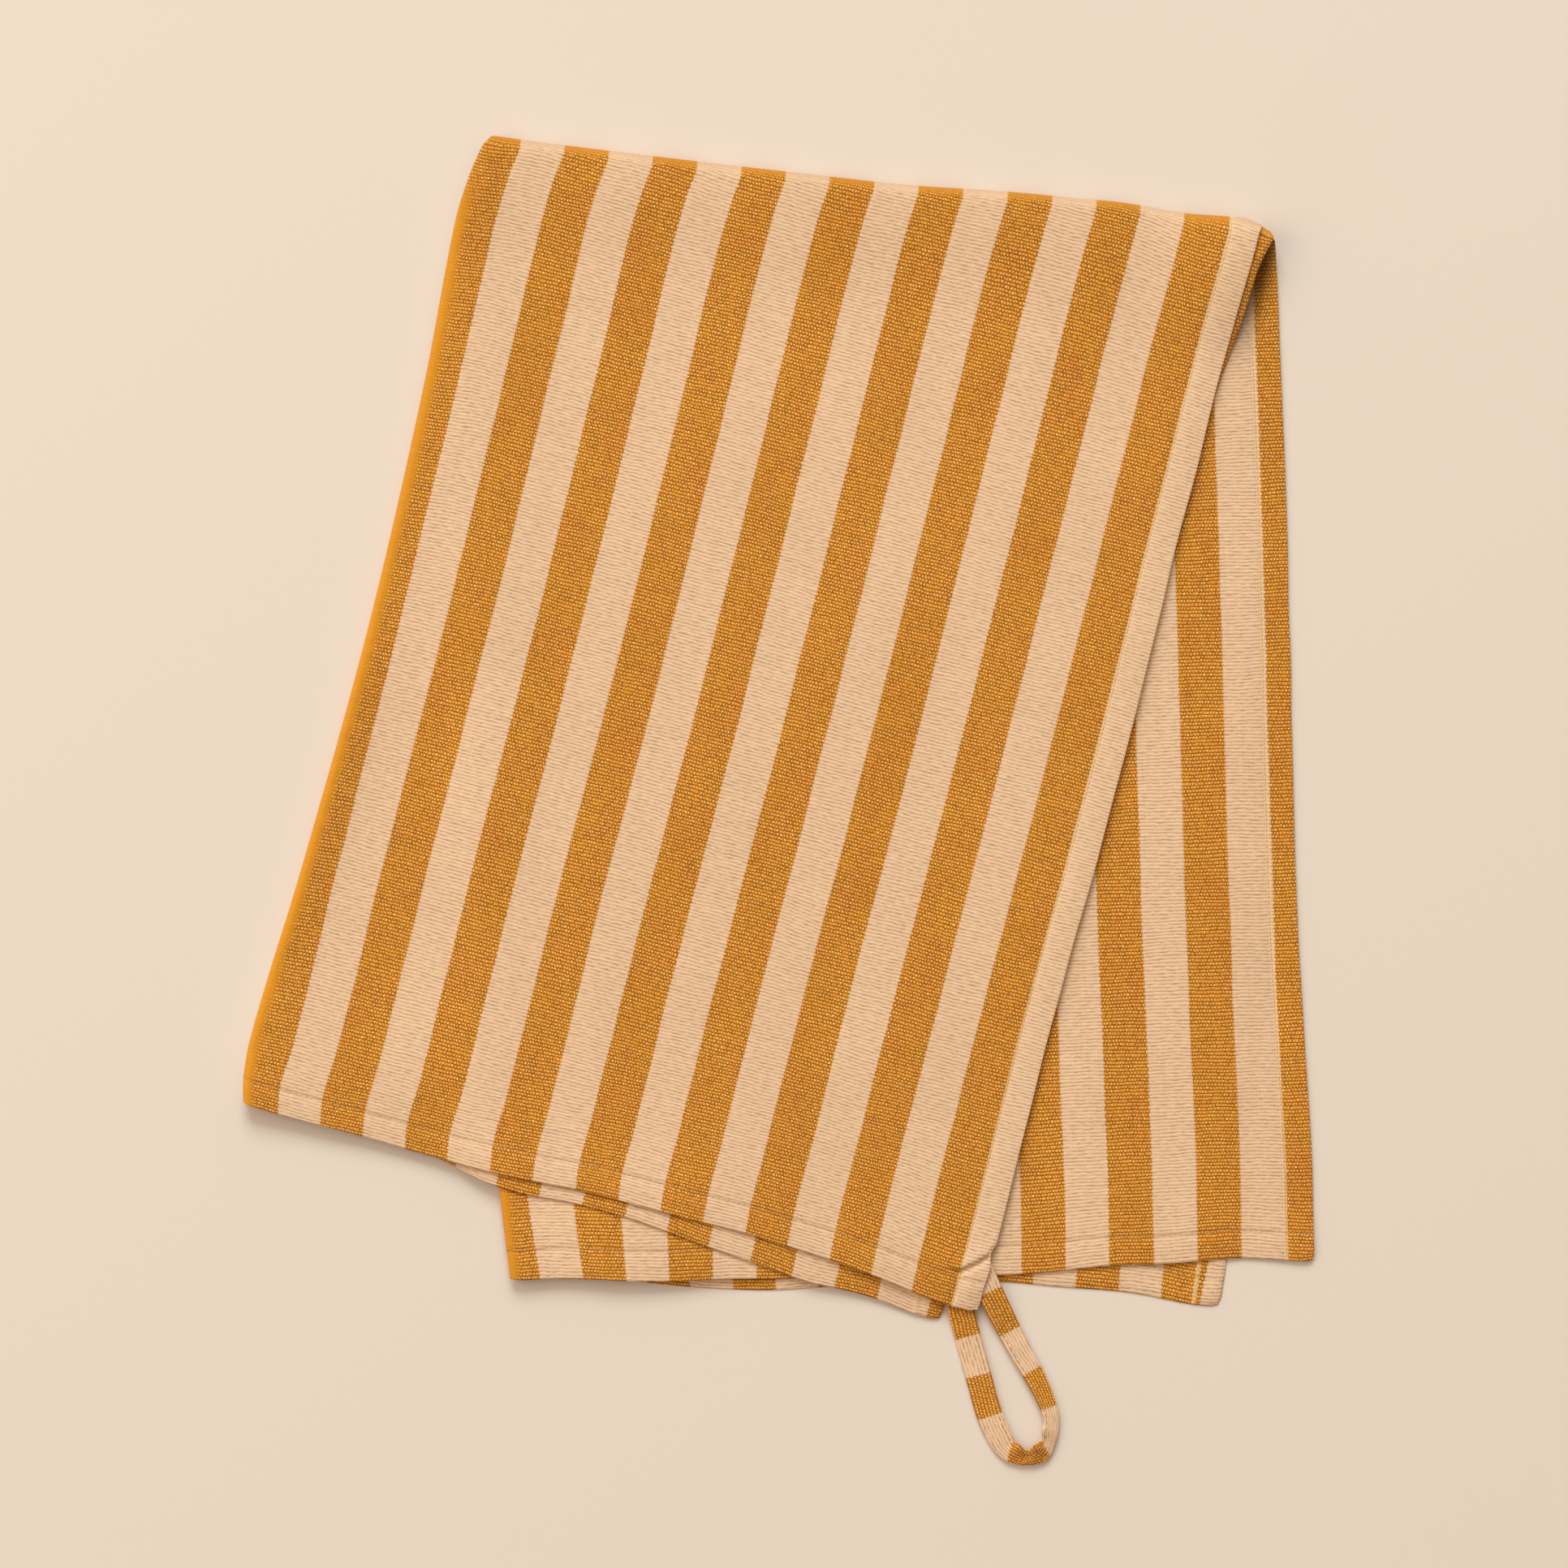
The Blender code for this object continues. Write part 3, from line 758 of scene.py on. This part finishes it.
def loopPaths():
    inner = 1.0 - tape["seam"] / (0.5 * tape["width"])
    paths = []
    at = loopStitch["start"]
    while at + loopStitch["length"] < loopPlaces[-1] - 2.2:
        start, end = loopPoint(at, inner, 1.0), loopPoint(at + loopStitch["length"], inner, 1.0)
        paths.append((start, end, loopSection(at)[2]))
        at += loopStitch["pitch"]
    return paths


def srgb(code):
    # a hex colour as the linear values that a shader takes
    channels = [int(code[i : i + 2], 16) / 255.0 for i in (0, 2, 4)]
    linear = [c / 12.92 if c <= 0.04045 else ((c + 0.055) / 1.055) ** 2.4 for c in channels]
    return (*linear, 1.0)


def addNode(tree, kind, sockets, output=0, **settings):
    # adds one node: settings are its own, sockets take a value or another node's output
    node = tree.nodes.new("ShaderNode" + kind)
    for name, value in settings.items():
        setattr(node, name, value)
    for socket, value in sockets.items():
        if isinstance(value, bpy.types.NodeSocket):
            tree.links.new(value, node.inputs[socket])
        else:
            node.inputs[socket].default_value = value
    return node.outputs[output]


def newMaterial(name, finish):
    # a material with its own numbers set on its shader
    material = bpy.data.materials.new(name)
    material.use_nodes = True
    shader = material.node_tree.nodes["Principled BSDF"]
    for socket, value in finish.items():
        shader.inputs[socket].default_value = value
    return material, material.node_tree, shader


cottonColours = {
    "goldDeep": "6e3c04",
    "gold": "e2901b",
    "goldWarm": "e07b24",
    "goldBare": "d28c1d",
    "goldFleck": "fcc976",
    "creamDeep": "ae835b",
    "cream": "f0c9a2",
    "creamBare": "dcb68e",
    "seam": "f6d09c",
}
cottonFinish = {
    "Roughness": 0.88,
    "IOR": 1.46,
    "Specular IOR Level": 0.25,
    "Sheen Weight": 0.12,
    "Sheen Roughness": 0.5,
}
cottonRelief = 0.16  # in millimetres
# How far the threads stray each way, in millimetres, and how quickly that changes along the cloth.
Stray = namedtuple("Stray", "scale detail across along")
strays = (Stray(0.035, 2.0, 0.9, 2.4), Stray(0.19, 1.0, 0.35, 0.45), Stray(0.8, 1.0, 1.1, 0.5))
# Thick and thin rows, ends that vary, broad worn or heavier patches, and slubs: across and along say how
# quickly each changes, for each millimetre.
Yarn = namedtuple("Yarn", "across along detail rough")
unevenYarn = {
    "rows": Yarn(0.022, 0.85, 2.0, 0.6),
    "ends": Yarn(1.6, 0.012, 1.0, 0.5),
    "patches": Yarn(0.034, 0.02, 3.0, 0.55),
    "slubs": Yarn(0.16, 0.75, 2.0, 0.7),
}


def stripedCotton(name, wrongSide=False):
    # plain-woven cotton: matt and soft, ribbed across the stripes by its thick crossing threads, which show in
    # the gold stripes as rows of light flecks
    material, tree, shader = newMaterial(name, cottonFinish)
    # the place on the flat cloth and the distances from its edges, in millimetres
    places = []
    for layer in ("cloth", "hem"):
        pair = addNode(tree, "SeparateXYZ", {0: addNode(tree, "UVMap", {}, uv_map=layer)})
        for value in pair.node.outputs[:2]:
            places.append(addNode(tree, "Math", {0: value, 1: 1.0 / mm}, operation="MULTIPLY"))
    across, along, fromSide, fromEnd = places

    if wrongSide:
        # the hem is turned over onto this side, so its strip shows the stripes that go on past the edge
        turned = addNode(tree, "Math", {0: fromSide, 1: cloth["sideHem"] - 0.6}, operation="LESS_THAN")
        outer = addNode(tree, "Math", {0: across, 1: 0.5 * cloth["width"]}, operation="GREATER_THAN")
        outer = addNode(tree, "Math", {0: outer, 1: 2.0, 2: -1.0}, operation="MULTIPLY_ADD")
        twice = addNode(tree, "Math", {0: fromSide, 1: 2.0, 2: 2.0}, operation="MULTIPLY_ADD")
        jump = addNode(tree, "Math", {0: twice, 1: outer}, operation="MULTIPLY")
        across = addNode(tree, "Math", {0: jump, 1: turned, 2: across}, operation="MULTIPLY_ADD")

    # threads wander a little: broadly, over a few threads and from one to the next
    flat = addNode(tree, "CombineXYZ", {0: across, 1: along})
    wandered = [(across, along)]
    for stray in strays:
        drift = {"Vector": flat, "Scale": stray.scale, "Detail": stray.detail}
        drift = addNode(tree, "SeparateXYZ", {0: addNode(tree, "TexNoise", drift, output=1)})
        lastAcross, lastAlong = wandered[-1]
        sideways = addNode(tree, "Math", {0: drift, 1: stray.across, 2: lastAcross}, operation="MULTIPLY_ADD")
        drift = drift.node.outputs[1]
        lengthways = addNode(tree, "Math", {0: drift, 1: stray.along, 2: lastAlong}, operation="MULTIPLY_ADD")
        wandered.append((sideways, lengthways))
    wander = wandered[1][0]
    acrossDrift, alongDrift = wandered[-1]

    # ribs run across the stripes; flecks sit on every second crossing, staggered from row to row
    warpTurn = addNode(tree, "Math", {0: acrossDrift, 1: math.pi / weave["warp"]}, operation="MULTIPLY")
    weftTurn = addNode(tree, "Math", {0: alongDrift, 1: math.pi / weave["weft"]}, operation="MULTIPLY")
    warp = addNode(tree, "Math", {0: warpTurn}, operation="COSINE")
    weft = addNode(tree, "Math", {0: weftTurn}, operation="COSINE")
    crossing = addNode(tree, "Math", {0: warp, 1: weft}, operation="MULTIPLY")
    rib = addNode(tree, "Math", {0: weft, 1: weft}, operation="MULTIPLY")
    onTop = addNode(tree, "Math", {0: crossing}, operation="GREATER_THAN")
    ridge = addNode(tree, "Math", {0: warp}, operation="ABSOLUTE")
    peak = addNode(tree, "Math", {0: ridge, 1: 0.8}, operation="POWER")
    crown = addNode(tree, "Math", {0: rib, 1: 1.6}, operation="POWER")
    for share in (crown, onTop):
        peak = addNode(tree, "Math", {0: peak, 1: share}, operation="MULTIPLY")
    fleck = {"Value": peak, "From Min": 0.0, "From Max": 0.42}
    fleck = addNode(tree, "MapRange", fleck, interpolation_type="SMOOTHSTEP")
    # no two crossings look quite the same
    cell = addNode(tree, "CombineXYZ", {0: acrossDrift, 1: alongDrift})
    perThread = (1.0 / weave["warp"], 1.0 / weave["weft"], 1.0)
    cell = addNode(tree, "Mapping", {"Vector": cell, "Location": (0.5, 0.5, 0.0), "Scale": perThread})
    cell = addNode(tree, "VectorMath", {0: cell}, operation="FLOOR")
    chance = addNode(tree, "TexWhiteNoise", {"Vector": cell}, noise_dimensions="2D")
    fleckLight = addNode(tree, "MapRange", {"Value": chance, "To Min": 0.6, "To Max": 1.3})
    cellLight = addNode(tree, "MapRange", {"Value": chance, "From Min": 0.8, "From Max": 0.2, "To Min": 0.6})
    bead = addNode(tree, "MapRange", {"Value": rib, "From Min": -0.18, "From Max": 0.42})
    between = addNode(tree, "MapRange", {"Value": ridge, "From Max": 0.6, "To Min": 0.62})
    for share in (between, cellLight):
        bead = addNode(tree, "Math", {0: bead, 1: share}, operation="MULTIPLY")

    # uneven yarn
    spots, tones = {}, {}
    for kind, yarn in unevenYarn.items():
        spots[kind] = addNode(tree, "Mapping", {"Vector": flat, "Scale": (yarn.across, yarn.along, 1.0)})
        pattern = {"Vector": spots[kind], "Scale": 1.0, "Detail": yarn.detail, "Roughness": yarn.rough}
        tones[kind] = addNode(tree, "TexNoise", pattern)

    bare = addNode(tree, "Attribute", {}, output=2, attribute_name="bare", attribute_type="GEOMETRY")
    woven = addNode(tree, "Math", {0: 1.0, 1: bare}, operation="SUBTRACT", use_clamp=True)

    # gold or cream: the border follows the threads, so it is finely toothed
    toothed = addNode(tree, "Math", {0: weft, 1: 0.09, 2: wander}, operation="MULTIPLY_ADD")
    goldMiddle = stripes["first"] + 0.5 * stripes["gold"] + 0.6
    turn = addNode(tree, "Math", {0: toothed, 1: goldMiddle}, operation="SUBTRACT")
    turn = addNode(tree, "Math", {0: turn, 1: stripes["pitch"]}, operation="DIVIDE")
    off = addNode(tree, "Math", {0: turn, 1: 0.5}, operation="PINGPONG")
    border = 0.5 * stripes["gold"] / stripes["pitch"]
    isGold = addNode(tree, "MapRange", {"Value": off, "From Min": border + 0.01, "From Max": border - 0.01})

    fleckTone = {"Value": tones["slubs"], "From Min": 0.3, "From Max": 0.75, "To Min": 0.55}
    fleckTone = addNode(tree, "MapRange", fleckTone)
    middling = {"Value": tones["patches"], "From Min": 0.35, "From Max": 0.65}
    patchLift = addNode(tree, "MapRange", {**middling, "To Min": 0.8, "To Max": 1.15})
    fleckShare = addNode(tree, "Math", {0: fleck, 1: 1.5}, operation="MULTIPLY")
    for share in (fleckTone, patchLift, fleckLight):
        fleckShare = addNode(tree, "Math", {0: fleckShare, 1: share}, operation="MULTIPLY")
    fleckShare = addNode(tree, "Math", {0: fleckShare, 1: woven}, operation="MULTIPLY", use_clamp=True)
    ribShare = addNode(tree, "Math", {0: rib, 1: 0.5}, operation="POWER")
    grain = addNode(tree, "TexNoise", {"Vector": spots["slubs"], "Scale": 2.3, "Detail": 1.0})
    middling["Value"] = grain
    shallow = addNode(tree, "MapRange", {**middling, "To Min": 1.0, "To Max": 0.3})
    gap = addNode(tree, "Math", {0: 1.0, 1: ribShare}, operation="SUBTRACT")
    gap = addNode(tree, "Math", {0: gap, 1: shallow}, operation="MULTIPLY")
    creamShare = addNode(tree, "Math", {0: 1.0, 1: gap}, operation="SUBTRACT")

    paint = {kind: srgb(code) for kind, code in cottonColours.items()}
    gold = addNode(tree, "Mix", {0: bead, 6: paint["goldDeep"], 7: paint["gold"]}, 2, data_type="RGBA")
    warmth = {"Vector": spots["patches"], "Scale": 2.2, "Detail": 3.0, "Roughness": 0.6}
    warmth = addNode(tree, "TexNoise", warmth)
    warmth = addNode(tree, "MapRange", {"Value": warmth, "From Min": 0.45, "From Max": 0.7, "To Max": 0.5})
    warmer = addNode(tree, "Mix", {0: bead, 6: paint["goldDeep"], 7: paint["goldWarm"]}, 2, data_type="RGBA")
    gold = addNode(tree, "Mix", {0: warmth, 6: gold, 7: warmer}, 2, data_type="RGBA")
    gold = addNode(tree, "Mix", {0: fleckShare, 6: gold, 7: paint["goldFleck"]}, 2, data_type="RGBA")
    bareTone = addNode(tree, "Mix", {0: ribShare, 6: paint["gold"], 7: paint["goldBare"]}, 2, data_type="RGBA")
    gold = addNode(tree, "Mix", {0: bare, 6: gold, 7: bareTone}, 2, data_type="RGBA")
    cream = {0: creamShare, 6: paint["creamDeep"], 7: paint["cream"]}
    cream = addNode(tree, "Mix", cream, 2, data_type="RGBA")
    cream = addNode(tree, "Mix", {0: bare, 6: cream, 7: paint["creamBare"]}, 2, data_type="RGBA")
    colour = addNode(tree, "Mix", {0: isGold, 6: cream, 7: gold}, 2, data_type="RGBA")

    # the side seam's thread draws the cloth up into a narrow peach line
    aside = addNode(tree, "Math", {0: fromSide, 1: cloth["sideHem"]}, operation="SUBTRACT")
    aside = addNode(tree, "Math", {0: aside}, operation="ABSOLUTE")
    drawn = addNode(tree, "MapRange", {"Value": aside, "From Min": 0.75, "From Max": 0.4, "To Max": 0.6})
    colour = addNode(tree, "Mix", {0: drawn, 6: colour, 7: paint["seam"]}, 2, data_type="RGBA")

    tone = 0.77
    for kind, strength in (("rows", 0.20), ("ends", 0.12), ("patches", 0.14)):
        tone = addNode(tree, "Math", {0: tones[kind], 1: strength, 2: tone}, operation="MULTIPLY_ADD")

    # the crest of the fold is rubbed and duller, and it is also painted darker: painted shade against the
    # light that its raised face catches
    crestWearAndShade = addNode(tree, "Attribute", {}, output=2, attribute_name="crestWearAndShade", attribute_type="GEOMETRY")
    crestDullAndShaded = addNode(tree, "MapRange", {"Value": crestWearAndShade, "To Min": 1.0, "To Max": 0.84})
    tone = addNode(tree, "Math", {0: tone, 1: crestDullAndShaded}, operation="MULTIPLY")
    if not wrongSide:
        # painted shade: the cloth's colour is darkened in the open end of the fold
        mouth = addNode(tree, "Attribute", {}, output=2, attribute_name="mouth", attribute_type="GEOMETRY")
        paintedShadeTone = addNode(tree, "MapRange", {"Value": mouth, "To Min": 1.0, "To Max": 0.36})
        tone = addNode(tree, "Math", {0: tone, 1: paintedShadeTone}, operation="MULTIPLY")

    # painted shade: a fine dark line along each end seam, and a fainter one along the side seams, for the
    # shade in the seam's groove
    for distance, seamAt, dark in ((fromSide, cloth["sideHem"], 0.94), (fromEnd, cloth["endHem"], 0.88)):
        aside = addNode(tree, "Math", {0: distance, 1: seamAt}, operation="SUBTRACT")
        aside = addNode(tree, "Math", {0: aside}, operation="ABSOLUTE")
        # the painted groove shade darkens the colour down to dark right at the seam
        line = {"Value": aside, "From Min": 0.15, "From Max": 0.75, "To Min": dark, "To Max": 1.0}
        line = addNode(tree, "MapRange", line, interpolation_type="SMOOTHSTEP")
        tone = addNode(tree, "Math", {0: tone, 1: line}, operation="MULTIPLY")
    colour = addNode(tree, "VectorMath", {0: colour, 3: tone}, operation="SCALE")
    tree.links.new(colour, shader.inputs["Base Color"])

    fuzz = addNode(tree, "TexNoise", {"Vector": flat, "Scale": 2.2, "Detail": 2.0})
    height = addNode(tree, "Math", {0: rib, 1: 0.45}, operation="MULTIPLY")
    height = addNode(tree, "Math", {0: fleck, 1: 0.35, 2: height}, operation="MULTIPLY_ADD")
    height = addNode(tree, "Math", {0: height, 1: woven}, operation="MULTIPLY")
    height = addNode(tree, "Math", {0: fuzz, 1: 0.35, 2: height}, operation="MULTIPLY_ADD")
    relief = addNode(tree, "Bump", {"Strength": 0.8, "Distance": cottonRelief * mm, "Height": height})
    tree.links.new(relief, shader.inputs["Normal"])
    return material


def speckled(name, finish, speck, colours):
    # a plain material whose one colour goes over into the other in fine specks
    material, tree, shader = newMaterial(name, finish)
    place = addNode(tree, "TexCoord", {}, output="Object")
    speck = addNode(tree, "TexNoise", {"Vector": place, **speck})
    dark, light = [srgb(code) for code in colours]
    colour = addNode(tree, "Mix", {0: speck, 6: dark, 7: light}, 2, data_type="RGBA")
    tree.links.new(colour, shader.inputs["Base Color"])
    return material


# spun polyester: fine, slightly glossy threads, darker between their turns
spun = ({"Roughness": 0.6}, {"Scale": 1600.0, "Detail": 1.0})
peachThread = speckled("peachThread", *spun, ("b9864a", "e6b272"))
ochreThread = speckled("ochreThread", *spun, ("a06a38", "c99a66"))
# matt studio paper, very pale and warm, with a faint tooth
matt = {"Roughness": 0.95, "Specular IOR Level": 0.1}
seamlessPaper = speckled("seamlessPaper", matt, {"Scale": 900.0, "Detail": 2.0}, ("e4d6c6", "e7d8c8"))
rightSideCotton = stripedCotton("stripedCotton")
wrongSideCotton = stripedCotton("stripedCottonWrongSide", wrongSide=True)

towel = foldTowel(rightSideCotton, wrongSideCotton)
print("towel folded:", len(towel.data.polygons), "faces")

loop = makeLoop()
loop.data.materials.append(stripedCotton("stripedTape"))
print("loop made:", len(loop.data.polygons), "faces")

hemStitches = makeStitches("hem_stitches", peachThread, hemPaths())
loopStitches = makeStitches("loop_stitches", ochreThread, loopPaths())
print("stitches laid:", len(hemStitches.data.polygons) + len(loopStitches.data.polygons), "faces")

for piece in (towel, loop, hemStitches, loopStitches):
    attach(piece, "root")
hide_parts("towel")
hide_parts("hanging_loop")

deselectAll()
bpy.ops.mesh.primitive_plane_add(size=6.0, location=(0.0, 0.0, -0.05 * mm))
floor = bpy.context.object
floor.name = "floor"
floor.data.materials.append(seamlessPaper)

# The camera looks straight down. width is what it takes in at the cloth's level.
view = {"width": 508.5, "height": 1900.0, "level": 6.0, "centre": (2.2, 5.3), "sensor": 36.0}
camera = bpy.data.cameras.new("camera")
camera.sensor_width = view["sensor"]
camera.lens = view["sensor"] * (view["height"] - view["level"]) / view["width"]
camera.clip_start = 0.05
cameraObject = bpy.data.objects.new("camera", camera)
cameraObject.location = (view["centre"][0] * mm, view["centre"][1] * mm, view["height"] * mm)
bpy.context.scene.collection.objects.link(cameraObject)
bpy.context.scene.camera = cameraObject

# a large soft light far beyond the folded edge, a weak one from the left and warm light from all round
lights = {
    "window": {"from": (-0.5, 4.6, 3.5), "size": (3.2, 2.6), "power": 250.0, "colour": (0.80, 0.92, 1.0)},
    "leftSide": {"from": (-1.3, 0.15, 1.2), "size": (1.2, 1.2), "power": 5.4, "colour": (1.0, 0.96, 0.92)},
}
for name, lamp in lights.items():
    bpy.ops.object.light_add(type="AREA", location=lamp["from"])
    key = bpy.context.object
    key.name = name
    key.data.shape = "RECTANGLE"
    key.data.size, key.data.size_y = lamp["size"]
    key.data.energy = lamp["power"]
    key.data.color = lamp["colour"]
    key.rotation_euler = Vector(lamp["from"]).to_track_quat("Z", "Y").to_euler()

world = bpy.data.worlds.new("room")
bpy.context.scene.world = world
world.use_nodes = True
air = world.node_tree
facing = addNode(air, "TexCoord", {}, output="Generated")
facing = addNode(air, "VectorMath", {0: facing, 1: (-0.47, 0.62, 0.63)}, "Value", operation="DOT_PRODUCT")
glow = addNode(air, "MapRange", {"Value": facing, "From Min": -0.6, "From Max": 0.9, "To Max": 0.9})
air.links.new(glow, air.nodes["Background"].inputs["Strength"])
air.nodes["Background"].inputs["Color"].default_value = (1.0, 0.86, 0.72, 1.0)
bpy.context.scene.view_settings.view_transform = "Standard"
print("camera and light set")
